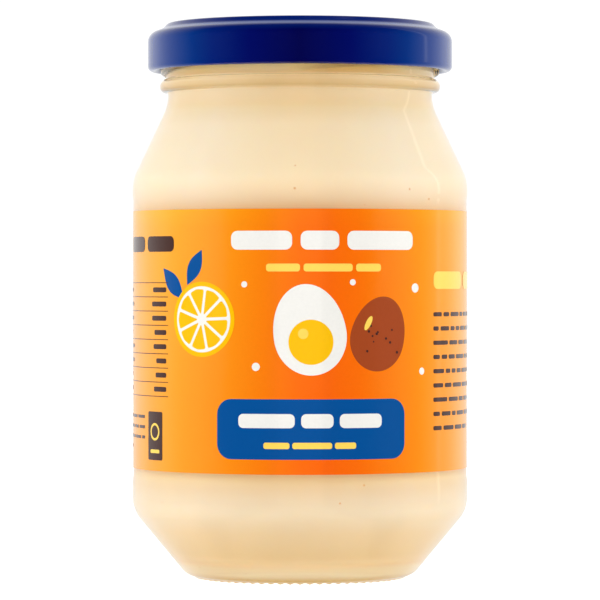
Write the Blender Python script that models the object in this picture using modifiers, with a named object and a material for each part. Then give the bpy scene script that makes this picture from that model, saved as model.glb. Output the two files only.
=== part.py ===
"""A closed glass jar of mayonnaise with a wrap-around paper label and a twist-off lid.

Blender units are metres. +Z is up and the jar stands on Z = 0, with its axis on the Z axis.
The front of the jar faces -Y.
"""

import math

import bmesh
import bpy

MM = 0.001

# Driving dimensions, in millimetres
LID_DIAMETER = 60.3
LID_HEIGHT = 9.45
LID_SHEET = 0.4
BODY_DIAMETER = 66.45
TOTAL_HEIGHT = 109.7
WALL = 2.8
CLEARANCE = 0.3
SEGMENTS = 48

# Heel: a wide cone between the standing ring and the body
HEEL_CORNER_HEIGHT = 13.5
HEEL_SLOPE = 0.83  # growth of the radius for each millimetre of height
HEEL_ROUNDING = 4.0
HEEL_CORNER_ROUNDING = 6.0
STANDING_RADIUS = 18.5
STANDING_SLOPE_WIDTH = 1.8  # the inner slope of the standing ring
STANDING_SLOPE_TOP = 1.4
PUSH_UP = 2.6
FLOOR_HEIGHT = 4.8
FLOOR_RISE = 1.0  # the inside of the floor is a low dome
FLOOR_DOME_RADIUS = 16.0
FLOOR_DOME_ROUNDING = 30.0
KNURL_COUNT = 68
KNURL_DEPTH = 0.25
KNURL_SIZE = (2.0, 1.05, 0.9)
KNURL_SETBACK = 0.1

# Label panel: a recess for the label between two raised bands
BAND_DEPTH = 0.1
BAND_BOTTOM = 19.6
BAND_TOP = 75.6
PANEL_DEPTH = 0.55
PANEL_MARGIN = 0.3
PANEL_STEP = 0.25
LABEL_BOTTOM = 21.9
LABEL_TOP = 72.5
LABEL_THICKNESS = 0.12
LABEL_GAP = 0.25
LABEL_LAP_GAP = 0.08
LABEL_OVERLAP_DEGREES = 12
LABEL_RAMP_DEGREES = 8

# Shoulder and neck
SHOULDER_CORNER_HEIGHT = 78.8
SHOULDER_SLOPE = 0.475  # loss of radius for each millimetre of height
SHOULDER_CORNER_ROUNDING = 8.0
NECK_RADIUS = 26.18
NECK_ROUNDING = 6.0
NECK_BORE = 23.7
BEAD_RADIUS = 27.78
BEAD_BOTTOM = 96.15
BEAD_TOP = 98.45
BEAD_ROUNDING = 1.1
FINISH_RADIUS = 26.6
RIM_ROUNDING = 1.2
FILL_HEIGHT = 104.3

# Threads of the neck and lugs of the lid, four of each
THREAD_COUNT = 4
THREAD_LEAD = 14.0
THREAD_ARC = 96
THREAD_CREST_RADIUS = 27.6
THREAD_ROD_RADIUS = 1.2
THREAD_STEPS = 12
THREAD_END_SIZE = 0.6  # share of the full thickness at a thread's tips
THREAD_END_GROWTH = 8
THREAD_LOW_HEIGHT = 100.05
FIRST_THREAD_ANGLE = -184  # from +X, so that a thread shows its low end at either side
LUG_ROD_RADIUS = 0.7
LUG_RADIUS = 27.75
LUG_HEIGHT = 101.2
LUG_START, LUG_ARC = 70, 15  # degrees past the low end of the thread above it
LUG_THICKNESS = (0.7, 1, 1, 1, 0.7)

# Lid profile
RING_INNER_RADIUS = 23.7
RING_OUTER_RADIUS = 26.3
RING_STEP_RADIUS = 27.2
RING_STEP = 0.95
RING_SLOPE_WIDTH = 0.8
RING_TOP_ROUNDING = 0.9
RING_INNER_ROUNDING = 0.3
RING_STEP_ROUNDING = 0.4
RING_INSIDE_SLOPE_WIDTH = 0.6
RING_INSIDE_ROUNDING = 0.5
PANEL_DROP = 0.9
LID_SHOULDER_DROP = 2.25
LID_SHOULDER_ROUNDING = 1.8
CURL_RADIUS = 1.0
CURL_TURN = 250
CURL_STEPS = 7
BUTTON_RADIUS = 9.0
BUTTON_RISE = 0.35
BUTTON_SLOPE_WIDTH = 1.2

BODY_RADIUS = BODY_DIAMETER / 2
LID_RADIUS = LID_DIAMETER / 2
LID_BOTTOM = TOTAL_HEIGHT - LID_HEIGHT
GLASS_TOP = TOTAL_HEIGHT - LID_SHEET - CLEARANCE
HEEL_HALF_TURN = math.atan(HEEL_SLOPE) / 2
SHOULDER_HALF_TURN = math.atan(SHOULDER_SLOPE) / 2


def rounded_outline(corners):
    """Points (radius, height) along straight sides, with a fillet at each corner.

    Each corner is (radius, height, fillet radius, fillet steps); a fillet radius of 0 keeps it sharp.
    """
    points = []
    for i, (r, z, fillet, steps) in enumerate(corners):
        if fillet == 0:
            points.append((r, z))
            continue
        before, after = corners[i - 1], corners[i + 1]
        back = math.atan2(before[1] - z, before[0] - r)
        ahead = math.atan2(after[1] - z, after[0] - r)
        opening = (ahead - back + math.pi) % math.tau - math.pi
        reach = fillet / math.sin(abs(opening) / 2)
        middle = back + opening / 2
        centre = (r + reach * math.cos(middle), z + reach * math.sin(middle))
        turn = (math.pi - abs(opening)) * (-1 if opening > 0 else 1)
        start = back - math.copysign(math.pi / 2, opening)
        for step in range(steps + 1):
            angle = start + turn * step / steps
            points.append((centre[0] + fillet * math.cos(angle), centre[1] + fillet * math.sin(angle)))
    return points


def material(name, colour, roughness, metallic=0.0, transmission=0.0):
    """A Principled material with plain values."""
    made = bpy.data.materials.new(name)
    made.use_nodes = True
    made.diffuse_color = (*colour, 1.0)
    shader = made.node_tree.nodes["Principled BSDF"]
    shader.inputs["Base Color"].default_value = (*colour, 1.0)
    shader.inputs["Roughness"].default_value = roughness
    shader.inputs["Metallic"].default_value = metallic
    shader.inputs["Transmission Weight"].default_value = transmission
    return made


def add_object(name, mesh, collection, surface=None):
    """An object for the mesh, in the collection, with one material."""
    obj = bpy.data.objects.new(name, mesh)
    collection.objects.link(obj)
    if surface:
        mesh.materials.append(surface)
    return obj


def turned(name, outline, collection, surface):
    """A solid of revolution: the outline (radius, height) turned about Z by a Screw modifier."""
    mesh = bpy.data.meshes.new(name)
    points = [(r * MM, 0, z * MM) for r, z in outline]
    mesh.from_pydata(points, [(i, i + 1) for i in range(len(points) - 1)], [])
    obj = add_object(name, mesh, collection, surface)
    screw = obj.modifiers.new("turn", "SCREW")
    screw.axis = "Z"
    screw.steps = screw.render_steps = SEGMENTS
    screw.use_merge_vertices = True
    screw.merge_threshold = 0.000001
    screw.use_smooth_shade = True
    return obj


def rod(name, points, radii, depth, collection):
    """A closed tube along the points, as a mesh; radii scale its thickness at each point."""
    curve = bpy.data.curves.new(name, "CURVE")
    curve.dimensions = "3D"
    curve.bevel_depth = depth * MM
    curve.bevel_resolution = 2
    curve.use_fill_caps = True
    spline = curve.splines.new("POLY")
    spline.points.add(len(points) - 1)
    for point, (x, y, z), radius in zip(spline.points, points, radii):
        point.co = (x * MM, y * MM, z * MM, 1)
        point.radius = radius
    drawn = add_object(name + "_path", curve, collection)
    bpy.context.view_layer.update()
    evaluated = drawn.evaluated_get(bpy.context.evaluated_depsgraph_get())
    mesh = bpy.data.meshes.new_from_object(evaluated)
    bpy.data.objects.remove(drawn)
    welded = bmesh.new()
    welded.from_mesh(mesh)
    bmesh.ops.remove_doubles(welded, verts=welded.verts, dist=1e-6)
    bmesh.ops.recalc_face_normals(welded, faces=welded.faces)
    welded.to_mesh(mesh)
    welded.free()
    return add_object(name, mesh, collection)


def unite(obj, pieces):
    """Fuses every object of the collection to obj, applies all of its modifiers and removes the pieces."""
    union = obj.modifiers.new("fused", "BOOLEAN")
    union.operation = "UNION"
    union.operand_type = "COLLECTION"
    union.collection = pieces
    bpy.context.view_layer.update()
    evaluated = obj.evaluated_get(bpy.context.evaluated_depsgraph_get())
    mesh = bpy.data.meshes.new_from_object(evaluated)
    obj.modifiers.clear()
    obj.data = mesh
    for piece in list(pieces.objects):
        bpy.data.objects.remove(piece)
    bpy.data.collections.remove(pieces)


def pieces_collection(name):
    """A collection for pieces that will be fused to another object."""
    made = bpy.data.collections.new(name)
    bpy.context.scene.collection.children.link(made)
    return made


def on_circle(radius, degrees, height):
    """A point at that radius, angle from +X and height."""
    angle = math.radians(degrees)
    return (radius * math.cos(angle), radius * math.sin(angle), height)


def jar_outline():
    """The outline of the glass, from the inside bottom over the rim to the outside bottom."""
    bore = BODY_RADIUS - WALL
    band = BODY_RADIUS - BAND_DEPTH
    panel = BODY_RADIUS - PANEL_DEPTH
    inner_heel = HEEL_CORNER_HEIGHT + WALL * math.tan(HEEL_HALF_TURN)
    inner_shoulder = SHOULDER_CORNER_HEIGHT - WALL * math.tan(SHOULDER_HALF_TURN)
    inner_neck = inner_shoulder + (bore - NECK_BORE) / SHOULDER_SLOPE
    floor_radius = bore - (inner_heel - FLOOR_HEIGHT) * HEEL_SLOPE
    outer_neck = SHOULDER_CORNER_HEIGHT + (BODY_RADIUS - NECK_RADIUS) / SHOULDER_SLOPE
    heel_radius = BODY_RADIUS - (HEEL_CORNER_HEIGHT - KNURL_DEPTH) * HEEL_SLOPE
    return rounded_outline([
        (0, FLOOR_HEIGHT + FLOOR_RISE, 0, 0),
        (FLOOR_DOME_RADIUS, FLOOR_HEIGHT, FLOOR_DOME_ROUNDING, 2),
        (floor_radius, FLOOR_HEIGHT, HEEL_ROUNDING, 3),
        (bore, inner_heel, HEEL_ROUNDING, 2),
        (bore, inner_shoulder, NECK_ROUNDING, 2),
        (NECK_BORE, inner_neck, NECK_ROUNDING, 2),
        (NECK_BORE, GLASS_TOP, RIM_ROUNDING, 3),
        (FINISH_RADIUS, GLASS_TOP, RIM_ROUNDING, 3),
        (FINISH_RADIUS, BEAD_TOP, 0, 0),
        (BEAD_RADIUS, BEAD_TOP, BEAD_ROUNDING, 3),
        (BEAD_RADIUS, BEAD_BOTTOM, BEAD_ROUNDING, 3),
        (NECK_RADIUS, BEAD_BOTTOM, 0, 0),
        (NECK_RADIUS, outer_neck, NECK_ROUNDING, 3),
        (BODY_RADIUS, SHOULDER_CORNER_HEIGHT, SHOULDER_CORNER_ROUNDING, 4),
        (BODY_RADIUS, BAND_TOP + PANEL_STEP, 0, 0),
        (band, BAND_TOP, 0, 0),
        (band, LABEL_TOP + PANEL_MARGIN + PANEL_STEP, 0, 0),
        (panel, LABEL_TOP + PANEL_MARGIN, 0, 0),
        (panel, LABEL_BOTTOM - PANEL_MARGIN, 0, 0),
        (band, LABEL_BOTTOM - PANEL_MARGIN - PANEL_STEP, 0, 0),
        (band, BAND_BOTTOM, 0, 0),
        (BODY_RADIUS, BAND_BOTTOM - PANEL_STEP, 0, 0),
        (BODY_RADIUS, HEEL_CORNER_HEIGHT, HEEL_CORNER_ROUNDING, 4),
        (heel_radius, KNURL_DEPTH, HEEL_ROUNDING, 3),
        (STANDING_RADIUS, KNURL_DEPTH, 0, 0),
        (STANDING_RADIUS - STANDING_SLOPE_WIDTH, STANDING_SLOPE_TOP, 0, 0),
        (0, PUSH_UP, 0, 0),
    ])


def thread(index, collection):
    """One helical thread of the neck: it starts low, rises to the right and fades at both ends."""
    centre_radius = THREAD_CREST_RADIUS - THREAD_ROD_RADIUS
    start = FIRST_THREAD_ANGLE + index * 360 / THREAD_COUNT
    points, radii = [], []
    for step in range(THREAD_STEPS + 1):
        share = step / THREAD_STEPS
        turned_by = THREAD_ARC * share
        height = THREAD_LOW_HEIGHT + THREAD_LEAD * turned_by / 360
        points.append(on_circle(centre_radius, start + turned_by, height))
        radii.append(min(1.0, THREAD_END_SIZE + THREAD_END_GROWTH * min(share, 1 - share)))
    rod(f"thread_{index}", points, radii, THREAD_ROD_RADIUS, collection)


def knurl_bars(collection):
    """Short bars on the standing ring, which share one mesh."""
    length, width, height = KNURL_SIZE
    mesh = bpy.data.meshes.new("knurl_bar")
    bar = bmesh.new()
    bmesh.ops.create_cube(bar, size=1.0)
    bmesh.ops.scale(bar, verts=bar.verts, vec=(length * MM, width * MM, height * MM))
    bar.to_mesh(mesh)
    bar.free()
    for index in range(KNURL_COUNT):
        degrees = 360 * index / KNURL_COUNT
        piece = add_object(f"knurl_{index}", mesh, collection)
        centre = on_circle(STANDING_RADIUS + KNURL_SETBACK + length / 2, degrees, height / 2)
        piece.location = [value * MM for value in centre]
        piece.rotation_euler.z = math.radians(degrees)


def build_glass_jar(collection):
    """The glass with its threads and the knurled ring that it stands on."""
    glass = material("clear_glass", (0.93, 0.95, 0.93), 0.03, transmission=1.0)
    jar = turned("glass_jar", jar_outline(), collection, glass)
    fused = pieces_collection("fused_to_glass")
    for index in range(THREAD_COUNT):
        thread(index, fused)
    knurl_bars(fused)
    unite(jar, fused)


def build_mayonnaise(collection):
    """The contents: they follow the inside of the glass up to the fill height."""
    bore = BODY_RADIUS - WALL - CLEARANCE
    neck = NECK_BORE - CLEARANCE
    floor = FLOOR_HEIGHT + CLEARANCE
    heel = HEEL_CORNER_HEIGHT + (WALL + CLEARANCE) * math.tan(HEEL_HALF_TURN)
    shoulder = SHOULDER_CORNER_HEIGHT - (WALL + CLEARANCE) * math.tan(SHOULDER_HALF_TURN)
    outline = rounded_outline([
        (0, FILL_HEIGHT, 0, 0),
        (neck, FILL_HEIGHT, 0, 0),
        (neck, shoulder + (bore - neck) / SHOULDER_SLOPE, NECK_ROUNDING, 2),
        (bore, shoulder, NECK_ROUNDING, 2),
        (bore, heel, HEEL_ROUNDING, 2),
        (bore - (heel - floor) * HEEL_SLOPE, floor, HEEL_ROUNDING, 3),
        (FLOOR_DOME_RADIUS, floor, FLOOR_DOME_ROUNDING, 2),
        (0, floor + FLOOR_RISE, 0, 0),
    ])
    cream = material("mayonnaise", (0.93, 0.78, 0.52), 0.35)
    turned("mayonnaise", outline, collection, cream)


def build_lid(collection):
    """The twist-off lid: a thin pressed sheet with a raised ring, a rolled edge and four lugs."""
    top, sheet = TOTAL_HEIGHT, LID_SHEET
    skirt_inside = LID_RADIUS - sheet
    curl_height = LID_BOTTOM + CURL_RADIUS
    curl_centre = LID_RADIUS - CURL_RADIUS
    panel = top - PANEL_DROP
    button = panel + BUTTON_RISE
    shoulder = top - LID_SHOULDER_DROP
    curl = []
    for step in range(CURL_STEPS + 1):
        angle = -math.radians(CURL_TURN * step / CURL_STEPS)
        radius = curl_centre + CURL_RADIUS * math.cos(angle)
        curl.append((radius, curl_height + CURL_RADIUS * math.sin(angle)))
    outside = rounded_outline([
        (0, button, 0, 0),
        (BUTTON_RADIUS, button, 0, 0),
        (BUTTON_RADIUS + BUTTON_SLOPE_WIDTH, panel, 0, 0),
        (RING_INNER_RADIUS - RING_SLOPE_WIDTH, panel, 0, 0),
        (RING_INNER_RADIUS, top, RING_INNER_ROUNDING, 2),
        (RING_OUTER_RADIUS, top, RING_TOP_ROUNDING, 2),
        (RING_STEP_RADIUS, top - RING_STEP, RING_STEP_ROUNDING, 2),
        (LID_RADIUS, shoulder, LID_SHOULDER_ROUNDING, 4),
        (LID_RADIUS, curl_height, 0, 0),
    ])
    inside = rounded_outline([
        (skirt_inside, curl_height + CURL_RADIUS, 0, 0),
        (skirt_inside, shoulder - sheet, LID_SHOULDER_ROUNDING - sheet, 3),
        (RING_STEP_RADIUS - sheet / 2, top - RING_STEP - sheet, 0, 0),
        (RING_OUTER_RADIUS, top - sheet, RING_INSIDE_ROUNDING, 2),
        (RING_INNER_RADIUS + sheet / 2, top - sheet, 0, 0),
        (RING_INNER_RADIUS - RING_INSIDE_SLOPE_WIDTH, panel - sheet, 0, 0),
        (BUTTON_RADIUS + BUTTON_SLOPE_WIDTH, panel - sheet, 0, 0),
        (BUTTON_RADIUS, button - sheet, 0, 0),
        (0, button - sheet, 0, 0),
    ])
    blue = material("blue_lacquer", (0.0, 0.02, 0.2), 0.3, metallic=0.4)
    lid = turned("lid", outside + curl[1:] + inside, collection, blue)
    fused = pieces_collection("fused_to_lid")
    for index in range(THREAD_COUNT):
        start = FIRST_THREAD_ANGLE + index * 360 / THREAD_COUNT + LUG_START
        last = len(LUG_THICKNESS) - 1
        stops = [start + LUG_ARC * step / last for step in range(last + 1)]
        points = [on_circle(LUG_RADIUS, degrees, LUG_HEIGHT) for degrees in stops]
        rod(f"lug_{index}", points, LUG_THICKNESS, LUG_ROD_RADIUS, fused)
    unite(lid, fused)


def build_label(collection):
    """The paper label, wrapped once round the panel, with its end lapped over its start at the back."""
    inner = BODY_RADIUS - PANEL_DEPTH + LABEL_GAP
    lapped = inner + LABEL_THICKNESS + LABEL_LAP_GAP
    back = 90 - LABEL_OVERLAP_DEGREES / 2
    stops = [back + 360 * step / SEGMENTS for step in range(SEGMENTS + 1)]
    stops += [back + 360 + LABEL_OVERLAP_DEGREES * step / 2 for step in (1, 2)]
    points = []
    for degrees in stops:
        share = min(1.0, max(0.0, (degrees - back - 360 + LABEL_RAMP_DEGREES) / LABEL_RAMP_DEGREES))
        radius = inner + (lapped - inner) * share
        points.append([value * MM for value in on_circle(radius, degrees, LABEL_BOTTOM)])
    mesh = bpy.data.meshes.new("label")
    mesh.from_pydata(points, [(i, i + 1) for i in range(len(points) - 1)], [])
    label = add_object("label", mesh, collection, material("label_paper", (0.95, 0.3, 0.01), 0.45))
    rise = label.modifiers.new("height", "SCREW")
    rise.axis = "Z"
    rise.angle = 0
    rise.screw_offset = (LABEL_TOP - LABEL_BOTTOM) * MM
    rise.steps = rise.render_steps = 1
    paper = label.modifiers.new("paper", "SOLIDIFY")
    paper.thickness = LABEL_THICKNESS * MM
    paper.offset = 1


def main():
    """Clears the scene and builds the jar."""
    for obj in list(bpy.data.objects):
        bpy.data.objects.remove(obj)
    collection = bpy.data.collections.new("mayonnaise_jar")
    bpy.context.scene.collection.children.link(collection)
    build_glass_jar(collection)
    build_mayonnaise(collection)
    build_lid(collection)
    build_label(collection)


main()
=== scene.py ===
"""Looks of a shut glass jar of mayonnaise with a blue twist-off lid and an orange printed label.

Sizes are in millimetres unless a name says otherwise. The jar's axis is the Z axis and its front faces -Y.
"""

import logging
import math
import random
from collections.abc import Iterator
from contextlib import contextmanager
from dataclasses import dataclass, field
from enum import Enum
from functools import cache

import bpy
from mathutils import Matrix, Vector


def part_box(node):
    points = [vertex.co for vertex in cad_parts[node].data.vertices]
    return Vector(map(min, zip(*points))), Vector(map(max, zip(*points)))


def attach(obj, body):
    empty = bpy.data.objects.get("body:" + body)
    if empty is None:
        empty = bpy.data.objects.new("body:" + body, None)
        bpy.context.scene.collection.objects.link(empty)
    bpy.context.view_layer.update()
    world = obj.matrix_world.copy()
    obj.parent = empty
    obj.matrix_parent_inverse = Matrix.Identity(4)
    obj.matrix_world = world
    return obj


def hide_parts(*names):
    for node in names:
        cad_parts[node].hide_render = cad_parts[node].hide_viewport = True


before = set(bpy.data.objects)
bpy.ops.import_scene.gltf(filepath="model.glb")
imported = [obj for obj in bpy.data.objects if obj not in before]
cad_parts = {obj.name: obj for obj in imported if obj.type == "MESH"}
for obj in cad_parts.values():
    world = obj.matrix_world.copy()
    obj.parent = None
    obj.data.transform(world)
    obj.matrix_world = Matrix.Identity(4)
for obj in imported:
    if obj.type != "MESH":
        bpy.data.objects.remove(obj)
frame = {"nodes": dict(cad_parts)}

LOG = logging.getLogger("mayonnaise_jar")
MM = 0.001
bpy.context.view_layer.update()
SMOOTH_ANGLE = math.radians(50)
MERGE_DISTANCE = 0.000002  # metres

Point = tuple[float, float]
Colour = tuple[float, float, float]
Tones = tuple[tuple[float, Colour], ...]
Socket = bpy.types.NodeSocket
Node = bpy.types.Node
Tree = bpy.types.NodeTree
Material = bpy.types.Material
Piece = bpy.types.Object


class Slot(Enum):
    """The record's material slots."""

    GLASS = "clear_glass"
    CONTENTS = "mayonnaise"
    LID = "blue_lacquer"
    LABEL = "label_paper"


class Ink(Enum):
    """The printing inks, in the order in which they lie on the paper."""

    BLUE = 1
    BROWN = 2
    WHITE = 3
    YELLOW = 4
    DARK = 5
    PALE_YELLOW = 6


def srgb(red: int, green: int, blue: int) -> Colour:
    """A linear colour from one on the usual 0 to 255 scale.

    Args:
        red: Red, 0 to 255.
        green: Green, 0 to 255.
        blue: Blue, 0 to 255.

    Returns:
        The same colour in linear light.
    """
    channels = (value / 255 for value in (red, green, blue))
    return tuple(c / 12.92 if c <= 0.04045 else ((c + 0.055) / 1.055) ** 2.4 for c in channels)


def deselect() -> None:
    """Leaves nothing selected, so that the next operator acts on its own piece alone."""
    bpy.ops.object.select_all(action="DESELECT")


def only(piece: Piece) -> None:
    """Makes the piece the one selected and active object."""
    deselect()
    piece.select_set(True)
    bpy.context.view_layer.objects.active = piece


@contextmanager
def editing() -> Iterator[None]:
    """Edit mode on the active piece, with all of it selected at the start."""
    bpy.ops.object.mode_set(mode="EDIT")
    bpy.ops.mesh.select_all(action="SELECT")
    yield
    bpy.ops.object.mode_set(mode="OBJECT")


def settle(piece: Piece) -> None:
    """Puts the piece's place into its mesh, so that its object sits at the origin, unturned and unscaled."""
    only(piece)
    bpy.ops.object.transform_apply(location=True, rotation=True, scale=True)


def apply_modifier(piece: Piece, kind: str, **settings: object) -> None:
    """Adds one modifier to the piece and applies it.

    Args:
        piece: The object to change.
        kind: The modifier's type.
        **settings: Values for the modifier's properties.
    """
    only(piece)
    modifier = piece.modifiers.new(kind.lower(), kind)
    for name, value in settings.items():
        setattr(modifier, name, value)
    bpy.ops.object.modifier_apply(modifier=modifier.name)


def copied(piece: Piece) -> Piece:
    """A copy of the piece with its own mesh, linked to the scene."""
    copy = piece.copy()
    copy.data = piece.data.copy()
    bpy.context.collection.objects.link(copy)
    return copy


def join(piece: Piece, others: list[Piece]) -> None:
    """Joins the others to the piece."""
    only(piece)
    for other in others:
        other.select_set(True)
    if others:
        bpy.ops.object.join()


def finish_piece(piece: Piece, material: Material, slot: Slot, *nodes: str) -> None:
    """Args:
        piece: The finished object.
        material: Its finish.
        slot: The record's material slot that it belongs to.
        *nodes: The CAD nodes that it stands for.
    """
    piece.data.materials.append(material)
    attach(piece, "root")
    if nodes:
        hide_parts(*nodes)
    LOG.info("%s: %d faces, slot %s", piece.name, len(piece.data.polygons), slot.value)


@dataclass(frozen=True)
class Corner:
    """One corner of a turned outline.

    Attributes:
        radius: Distance from the axis.
        height: Height above the jar's base.
        rounding: Radius of the fillet that rounds it.
        runs: Number of equal steps on the straight run that follows it.
    """

    radius: float
    height: float
    rounding: float = 0.0
    runs: int = 1


@dataclass(frozen=True)
class Outline:
    """A turned outline, given by its corners from one end on the axis to the other.

    Attributes:
        corners: The corners in order.
        degrees_per_step: Largest turn between two points of a fillet.
    """

    corners: tuple[Corner, ...]
    degrees_per_step: float

    def fillet(self, before: Corner, corner: Corner, after: Corner) -> list[Point]:
        """The points of the arc that rounds a corner.

        Args:
            before: The corner before it.
            corner: The corner to round.
            after: The corner after it.

        Returns:
            Points (radius, height) along the arc.
        """
        here = Vector((corner.radius, corner.height))
        back = (Vector((before.radius, before.height)) - here).normalized()
        ahead = (Vector((after.radius, after.height)) - here).normalized()
        turn = math.pi - back.angle(ahead)
        reach = corner.rounding * math.tan(turn / 2)
        centre = here + (back + ahead).normalized() * corner.rounding / math.cos(turn / 2)
        steps = max(2, math.ceil(math.degrees(turn) / self.degrees_per_step))
        first, last = here + back * reach - centre, here + ahead * reach - centre
        points = []
        for step in range(steps + 1):
            share = step / steps
            spoke = first * math.sin((1 - share) * turn) + last * math.sin(share * turn)
            point = centre + spoke / math.sin(turn)
            points.append((point.x, point.y))
        return points

    def points(self) -> list[Point]:
        """The whole outline as points (radius, height), with its fillets and divided runs."""
        found: list[Point] = []
        last = len(self.corners) - 1
        runs = 1
        for i, corner in enumerate(self.corners):
            rounded = corner.rounding > 0 and 0 < i < last
            if rounded:
                arc = self.fillet(self.corners[i - 1], corner, self.corners[i + 1])
            else:
                arc = [(corner.radius, corner.height)]
            if found:
                start, end = Vector(found[-1]), Vector(arc[0])
                found += [tuple(start.lerp(end, k / runs)) for k in range(1, runs)]
            found += arc
            runs = corner.runs
        return found


def turned(name: str, outline: Outline, steps: int) -> Piece:
    """A turned piece: one vertex is extruded along the outline, and the line is turned about Z.

    Args:
        name: The piece's name.
        outline: Its outline, with both ends on the axis.
        steps: Number of steps in the full turn.

    Returns:
        The closed piece, facing outwards.
    """
    points = [Vector((radius * MM, 0.0, height * MM)) for radius, height in outline.points()]
    deselect()
    bpy.ops.mesh.primitive_plane_add(size=MM, location=points[0])
    piece = bpy.context.object
    piece.name = piece.data.name = name
    with editing():
        bpy.ops.mesh.merge(type="CENTER")
        for here, there in zip(points, points[1:]):
            bpy.ops.mesh.extrude_region_move(TRANSFORM_OT_translate={"value": there - here})
    settle(piece)
    turn = {"axis": "Z", "steps": steps, "render_steps": steps}
    apply_modifier(piece, "SCREW", use_merge_vertices=True, merge_threshold=MERGE_DISTANCE, **turn)
    with editing():
        bpy.ops.mesh.normals_make_consistent(inside=False)
    bpy.ops.object.shade_smooth_by_angle(angle=SMOOTH_ANGLE)
    return piece


class Board:
    """A node tree being drawn, with short calls for adding and linking nodes."""

    def __init__(self, tree: Tree) -> None:
        """Takes the tree to draw in."""
        self.tree = tree

    def add(self, kind: str, inputs: dict | None = None, **settings: object) -> Node:
        """Adds a node.

        Args:
            kind: The node's type, without its ShaderNode prefix.
            inputs: Socket name or number to a value, or to the output socket that feeds it.
            **settings: Values for the node's own properties.

        Returns:
            The new node.
        """
        prefix = "" if kind.startswith("NodeGroup") else "ShaderNode"
        node = self.tree.nodes.new(prefix + kind)
        for name, value in settings.items():
            setattr(node, name, value)
        for key, value in (inputs or {}).items():
            if isinstance(value, Socket):
                self.tree.links.new(value, node.inputs[key])
            else:
                node.inputs[key].default_value = value
        return node

    def math(self, operation: str, *values: object) -> Socket:
        """A Math node's output for the operation on the values."""
        return self.add("Math", dict(enumerate(values)), operation=operation).outputs[0]

    def place(self) -> Socket:
        """The place on the piece, in its object's own coordinates."""
        return self.add("TexCoord").outputs["Object"]

    def height(self) -> Socket:
        """The height on the piece, in metres."""
        return self.add("SeparateXYZ", {"Vector": self.place()}).outputs["Z"]

    def span(self, value: Socket, ends: Point, low: object = 0.0, high: object = 1.0) -> Socket:
        """A value spread from low to high between two ends, and held there outside them.

        Args:
            value: What is spread.
            ends: Where the spread starts and where it ends.
            low: The result at the start.
            high: The result at the end.

        Returns:
            The spread value.
        """
        names = ("Value", "From Min", "From Max", "To Min", "To Max")
        return self.add("MapRange", dict(zip(names, (value, *ends, low, high)))).outputs["Result"]

    def mix(self, share: Socket, first: object, second: object) -> Socket:
        """Two colours mixed by a share from 0 to 1."""
        return self.add("Mix", {"Factor": share, "A": first, "B": second}, data_type="RGBA").outputs["Result"]

    def product(self, first: object, second: object) -> Socket:
        """Two colours or places multiplied, channel by channel."""
        return self.add("VectorMath", {0: first, 1: second}, operation="MULTIPLY").outputs[0]

    def ramp(self, factor: Socket, stops: dict[float, Colour]) -> Socket:
        """A colour ramp.

        Args:
            factor: What runs along the ramp.
            stops: Position, 0 to 1, to colour.

        Returns:
            The ramp's colour.
        """
        node = self.add("ValToRGB", {"Fac": factor})
        elements = node.color_ramp.elements
        while len(elements) < len(stops):
            elements.new(0.5)
        for element, (place, _) in zip(elements, sorted(stops.items())):
            element.position = place
        for element, (_, colour) in zip(elements, sorted(stops.items())):
            element.color = (*colour, 1.0)
        return node.outputs["Color"]

    def scaled(self, colour: object, by: Socket) -> Socket:
        """A colour made lighter or darker by a value near 1."""
        return self.add("VectorMath", {0: colour, "Scale": by}, operation="SCALE").outputs[0]


def new_group(name: str, inputs: dict[str, float], outputs: tuple[str, ...]) -> Board:
    """An empty shader node group with named sockets.

    Args:
        name: The group's name.
        inputs: Input names and their usual values.
        outputs: Output names.

    Returns:
        A board on the group's tree.
    """
    tree = bpy.data.node_groups.new(name, "ShaderNodeTree")
    for label, value in inputs.items():
        socket = tree.interface.new_socket(label, in_out="INPUT", socket_type="NodeSocketFloat")
        socket.default_value = value
    for label in outputs:
        tree.interface.new_socket(label, in_out="OUTPUT", socket_type="NodeSocketFloat")
    return Board(tree)


@cache
def grain_group() -> Tree:
    """Fine even grain: Tint varies round 1 by Amount, and Height runs from 0 to 1."""
    board = new_group("fine grain", {"Scale": 1000.0, "Amount": 0.02}, ("Tint", "Height"))
    given = board.add("NodeGroupInput")
    grain = {"Vector": board.place(), "Scale": given.outputs["Scale"], "Detail": 3.0}
    noise = board.add("TexNoise", grain).outputs["Fac"]
    doubled = board.math("MULTIPLY", board.math("SUBTRACT", noise, 0.5), 2.0)
    tint = board.math("MULTIPLY_ADD", doubled, given.outputs["Amount"], 1.0)
    board.add("NodeGroupOutput", {"Tint": tint, "Height": noise})
    return board.tree


@cache
def smudge_group() -> Tree:
    """Faint handling marks: Roughness runs between Clean and Smudged in soft patches."""
    board = new_group("handling marks", {"Scale": 40.0, "Clean": 0.02, "Smudged": 0.08}, ("Roughness",))
    given = board.add("NodeGroupInput")
    patches = {"Vector": board.place(), "Scale": given.outputs["Scale"], "Detail": 5.0}
    mask = board.span(board.add("TexNoise", patches).outputs["Fac"], (0.45, 0.75))
    roughness = board.span(mask, (0.0, 1.0), given.outputs["Clean"], given.outputs["Smudged"])
    board.add("NodeGroupOutput", {"Roughness": roughness})
    return board.tree


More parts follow.
